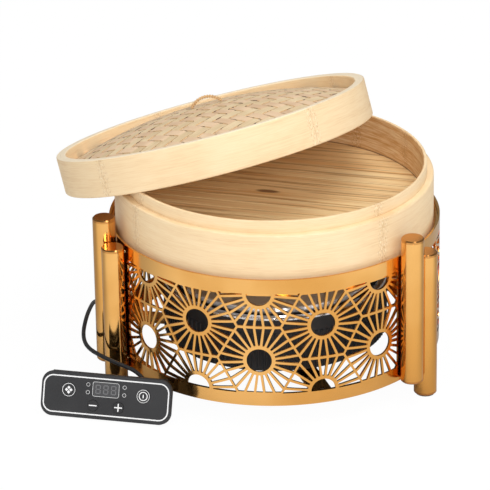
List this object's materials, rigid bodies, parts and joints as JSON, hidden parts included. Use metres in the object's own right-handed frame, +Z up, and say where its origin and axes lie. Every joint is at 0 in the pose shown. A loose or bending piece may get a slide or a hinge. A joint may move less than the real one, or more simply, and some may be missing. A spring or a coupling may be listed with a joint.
{
  "type": "dumpling steamer",
  "caption": "Electric table steamer: bamboo basket with a domed woven lid over a flat heater inside a gold lattice stand on tube posts, with a wired control panel.",
  "frame": {"origin": "on the table, where the axis of the round stand meets it", "axes": "+Z up along the stand's axis; -Y towards the viewer of the picture; +X to the viewer's right"},
  "size_m": [0.3843, 0.3763, 0.2764],
  "materials": {
    "gold_steel": "mirror-polished gold coating on thin stainless steel",
    "screw_steel": "plain steel",
    "insert_metal": "turned",
    "rubber": "matt",
    "black_plastic": "fine satin moulding",
    "inner_plastic": "matt",
    "heater_glass": "black ceramic glass",
    "trim_steel": "polished",
    "pan_steel": "satin",
    "coil_copper": "bare wire",
    "board_green": "solder mask",
    "bamboo": "smooth split bamboo",
    "bamboo_floor": "planed bamboo",
    "bamboo_peg": "end grain",
    "woven_bamboo": "woven bamboo strip",
    "loop_cane": "twisted cane",
    "panel_face": "dark grey film",
    "panel_line": "white",
    "key_face": "dark grey",
    "display_glass": "smoked",
    "lens_white": "clear",
    "soft_black": "soft vinyl"
  },
  "bodies": {
    "stand": {"front_panel": "gold_steel", "right_panel": "gold_steel", "left_panel": "gold_steel", "basket_seat": "gold_steel", "base_ring": "gold_steel", "heater_cradle": "gold_steel", "high_post_right": "gold_steel", "high_post_rear": "gold_steel", "high_post_left": "gold_steel", "low_post_right": "gold_steel", "low_post_rear": "gold_steel", "low_post_left": "gold_steel", "post_caps": "gold_steel", "stand_screws": "screw_steel", "cover_screws": "screw_steel", "controller_screws": "screw_steel", "post_inserts": "insert_metal", "foot_pads": "rubber", "heater_pads": "rubber", "heater_housing": "black_plastic", "heater_base_cover": "black_plastic", "mains_inlet": "black_plastic", "fan_frame": "black_plastic", "controller_case": "black_plastic", "coil_carrier": "inner_plastic", "heater_standoffs": "inner_plastic", "thermal_sensor": "inner_plastic", "board_parts": "inner_plastic", "display_module": "inner_plastic", "heater_glass": "heater_glass", "trim_ring": "trim_steel", "water_pan": "pan_steel", "heating_coil": "coil_copper", "power_board": "board_green", "controller_board": "board_green", "controller_front": "panel_face", "controller_line": "panel_line", "display_window": "display_glass", "indicator_lenses": "lens_white", "cable_bush": "soft_black", "heater_gland": "soft_black", "control_cable": "soft_black"},
    "basket": {"basket_inner_hoop": "bamboo", "basket_outer_hoop": "bamboo", "basket_pegs": "bamboo_peg", "basket_floor_ring": "bamboo_floor", "basket_slats": "bamboo_floor", "basket_cross_bars": "bamboo_floor"},
    "lid": {"lid_outer_hoop": "bamboo", "lid_inner_hoop": "bamboo", "lid_support_hoop": "bamboo", "lid_pegs": "bamboo_peg", "lid_mat": "woven_bamboo", "lid_ribs": "bamboo_floor", "lid_loop": "loop_cane"},
    "fan": {"fan_rotor": "black_plastic"},
    "menu_key": {"menu_key": "key_face"},
    "power_key": {"power_key": "key_face"},
    "minus_key": {"minus_key": "key_face"},
    "plus_key": {"plus_key": "key_face"}
  },
  "joints": [
    {"name": "basket_lift", "type": "slide", "parent": "stand", "child": "basket", "axis": [0, 0, 1], "range_m": [0, 0.1]},
    {"name": "lid_lift", "type": "slide", "parent": "basket", "child": "lid", "axis": [0, 0, 1], "range_m": [0, 0.1]},
    {"name": "fan_spin", "type": "hinge", "parent": "stand", "child": "fan", "pos_m": [0, 0, 0.042], "axis": [0, 0, 1], "continuous": true},
    {"name": "menu_press", "type": "slide", "parent": "stand", "child": "menu_key", "axis": [0.2054, 0.9041, -0.3746], "range_m": [0, 0.0005], "stiffness_N_per_m": 400, "springref_m": -0.0005},
    {"name": "power_press", "type": "slide", "parent": "stand", "child": "power_key", "axis": [0.2054, 0.9041, -0.3746], "range_m": [0, 0.0005], "stiffness_N_per_m": 400, "springref_m": -0.0005},
    {"name": "minus_press", "type": "slide", "parent": "stand", "child": "minus_key", "axis": [0.2054, 0.9041, -0.3746], "range_m": [0, 0.0005], "stiffness_N_per_m": 400, "springref_m": -0.0005},
    {"name": "plus_press", "type": "slide", "parent": "stand", "child": "plus_key", "axis": [0.2054, 0.9041, -0.3746], "range_m": [0, 0.0005], "stiffness_N_per_m": 400, "springref_m": -0.0005}
  ]
}
